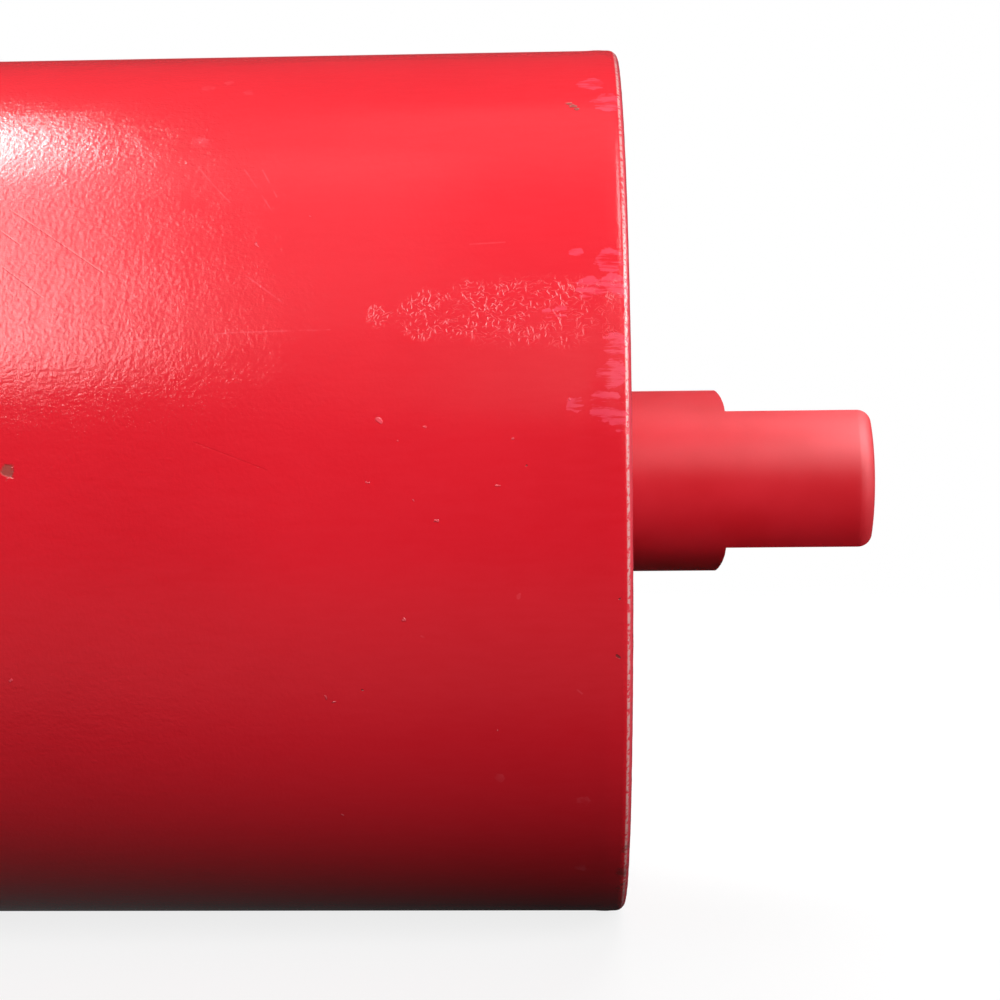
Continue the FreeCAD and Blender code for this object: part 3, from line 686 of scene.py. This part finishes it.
def studio_world():
    """White for the lens, and a dim grey room for the light and the gloss."""
    world = bpy.data.worlds.new("studio")
    bpy.context.scene.world = world
    world.use_nodes = True
    tree = world.node_tree
    tree.nodes.clear()
    path = tree.nodes.new("ShaderNodeLightPath")
    white = even_light(tree, "Background", 1)
    room = even_light(tree, "Background", ROOM_LIGHT)
    gloss = even_light(tree, "Background", ROOM_GLOSS)
    surface = mix_of(tree, path.outputs["Is Glossy Ray"], room, gloss)
    surface = mix_of(tree, path.outputs["Is Transmission Ray"], surface, white)
    surface = mix_of(tree, path.outputs["Is Camera Ray"], surface, white)
    output = tree.nodes.new("ShaderNodeOutputWorld")
    tree.links.new(surface, output.inputs["Surface"])


def lamp(name, azimuth, elevation, distance, size, energy):
    """Area lamp: degrees right of the front, degrees up from level (90 is overhead) and metres off."""
    data = bpy.data.lights.new(name, "AREA")
    data.shape = "RECTANGLE"
    data.size, data.size_y = size
    data.energy = energy
    light = bpy.data.objects.new(name, data)
    place = AIM @ Matrix.Rotation(math.radians(-elevation), 4, "X")
    place @= Matrix.Rotation(math.radians(azimuth), 4, "Z")
    place @= Matrix.Rotation(math.radians(90), 4, "X")
    light.matrix_world = place @ Matrix.Translation((0, 0, distance))
    bpy.context.scene.collection.objects.link(light)
    return light


def soft_lamp(name, azimuth, elevation, distance, size, level):
    """Lamp for the colours alone; a level of 1 renders a colour that faces it as it is written."""
    light = lamp(name, azimuth, elevation, distance, size, level * (math.pi * distance) ** 2)
    light.visible_glossy = False


def gloss_lamp(name, azimuth, elevation, distance, size, brightness):
    """Lamp for the gloss alone; its face is this many times as bright as white."""
    width, height = size
    light = lamp(name, azimuth, elevation, distance, size, brightness * math.pi * width * height)
    light.visible_diffuse = False
    return light


def shine_only_on(light, piece):
    """Keep a lamp's light to one piece."""
    lit = bpy.data.collections.new(f"lit_by_{light.name}")
    lit.objects.link(piece)
    light.light_linking.receiver_collection = lit


def colour_lamps():
    """Soft light from all round, strongest from the front."""
    soft_lamp("key_lamp", 20, 30, 1.5, (1.2, 0.8), 1.06)
    soft_lamp("left_fill", -72, 30, 1.5, (0.9, 0.9), 0.36)
    soft_lamp("right_fill", 75, 30, 1.5, (0.9, 0.9), 0.30)
    soft_lamp("top_fill", 0, 105, 1.3, (1.2, 1.0), 0.86)
    soft_lamp("back_fill", -5, 145, 1.5, (1.4, 0.9), 0.85)


def gloss_lamps():
    """The room that the paint mirrors: glare and window on the left, lamps for the shaft and the rim."""
    gloss_lamp("glare_lamp", -23, 99, 1.05, (0.16, 0.30), 28)
    for step in range(WINDOW_PANES):
        elevation = PANE_LOWEST + PANE_PITCH * step
        brightness = PANE_BRIGHTNESS - PANE_DIMMING * step
        gloss_lamp(f"window_pane_{step + 1}", WINDOW_AZIMUTH, elevation, 1.1, PANE_SIZE, brightness)
    gloss_lamp("window_haze", -14, 64, 1.1, (0.45, 1.1), 0.42)
    gloss_lamp("ceiling", 20, 78, 1.3, (1.4, 1.7), 0.24)
    gloss_lamp("shaft_lamp", 20, 76, 1.1, (0.30, 0.45), 8)
    shaft_end_lamp = gloss_lamp("shaft_end_lamp", 70, 80, 0.14, (0.06, 0.06), 16)
    shine_only_on(shaft_end_lamp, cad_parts["shaft"])
    gloss_lamp("strip_lamp", 18, 45, 1.34, (0.5, 0.15), 3)
    gloss_lamp("rim_lamp_low", 62, 45, 1.15, (0.3, 0.9), 7)
    gloss_lamp("rim_lamp_high", 60, 90, 1.15, (0.3, 0.9), 7)


def camera():
    """The photograph's place and lens: level with the shaft and nearly square to it."""
    data = bpy.data.cameras.new("camera")
    data.lens = LENS_MM
    data.sensor_width = SENSOR_MM
    lens = bpy.data.objects.new("camera", data)
    bpy.context.scene.collection.objects.link(lens)
    aim = Matrix.Rotation(math.radians(CAMERA_LEFT), 4, "Z")
    aim @= Matrix.Rotation(math.radians(90 + CAMERA_UP), 4, "X")
    aim @= Matrix.Rotation(math.radians(CAMERA_ROLL), 4, "Z")
    lens.matrix_world = Matrix.Translation(CAMERA_PLACE) @ aim
    bpy.context.scene.camera = lens


def dress(piece, finish):
    piece.data.materials.clear()
    piece.data.materials.append(finish)


TUBE_PAINT = tube_paint()
SHAFT_PAINT = shaft_paint()
HOUSING_PAINT = housing_paint()
BEARING_STEEL = steel("bearing_steel", (0.64, 0.64, 0.65, 1), (0.50, 0.50, 0.51, 1), (0.18, 0.32), 0.3 * MM)
BALL_STEEL = steel("ball_steel", (0.76, 0.76, 0.77, 1), (0.66, 0.66, 0.68, 1), (0.05, 0.12), 0.5 * MM)
SPRING_STEEL = steel("spring_steel", (0.17, 0.17, 0.18, 1), (0.10, 0.10, 0.11, 1), (0.30, 0.46), 0.2 * MM)
CAGE_NYLON = moulded("cage_nylon", shade(222, 210, 184), shade(238, 228, 206), 0.4 * MM, (0.40, 0.58))
SEAL_NYLON = moulded("seal_nylon", shade(46, 46, 48), shade(64, 64, 66), 0.4 * MM, (0.42, 0.60))
COVER_NYLON = moulded("cover_nylon", shade(34, 34, 36), shade(54, 54, 56), 0.5 * MM, (0.38, 0.60))
SEAL_RUBBER = moulded("seal_rubber", shade(26, 26, 27), shade(42, 42, 43), 0.3 * MM, (0.60, 0.78))

NODE_FINISHES = {
    "bearing_housing": HOUSING_PAINT,
    "bearing_outer_ring": BEARING_STEEL,
    "bearing_inner_ring": BEARING_STEEL,
    "bearing_balls": BALL_STEEL,
    "bearing_cage": CAGE_NYLON,
    "circlip": SPRING_STEEL,
    "labyrinth_rotor": SEAL_NYLON,
    "labyrinth_stator": SEAL_NYLON,
    "lip_seal": SEAL_RUBBER,
    "inner_seal": SEAL_NYLON,
    "dust_cover": COVER_NYLON,
}

dress(painted_tube(), TUBE_PAINT)
dress(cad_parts["shaft"], SHAFT_PAINT)
for end in ENDS:
    dress(weld_bead(end), HOUSING_PAINT)
    for piece, finish in NODE_FINISHES.items():
        dress(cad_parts[f"{end}_{piece}"], finish)

bpy.context.scene.view_settings.view_transform = "Standard"
studio_floor()
studio_world()
colour_lamps()
gloss_lamps()
camera()
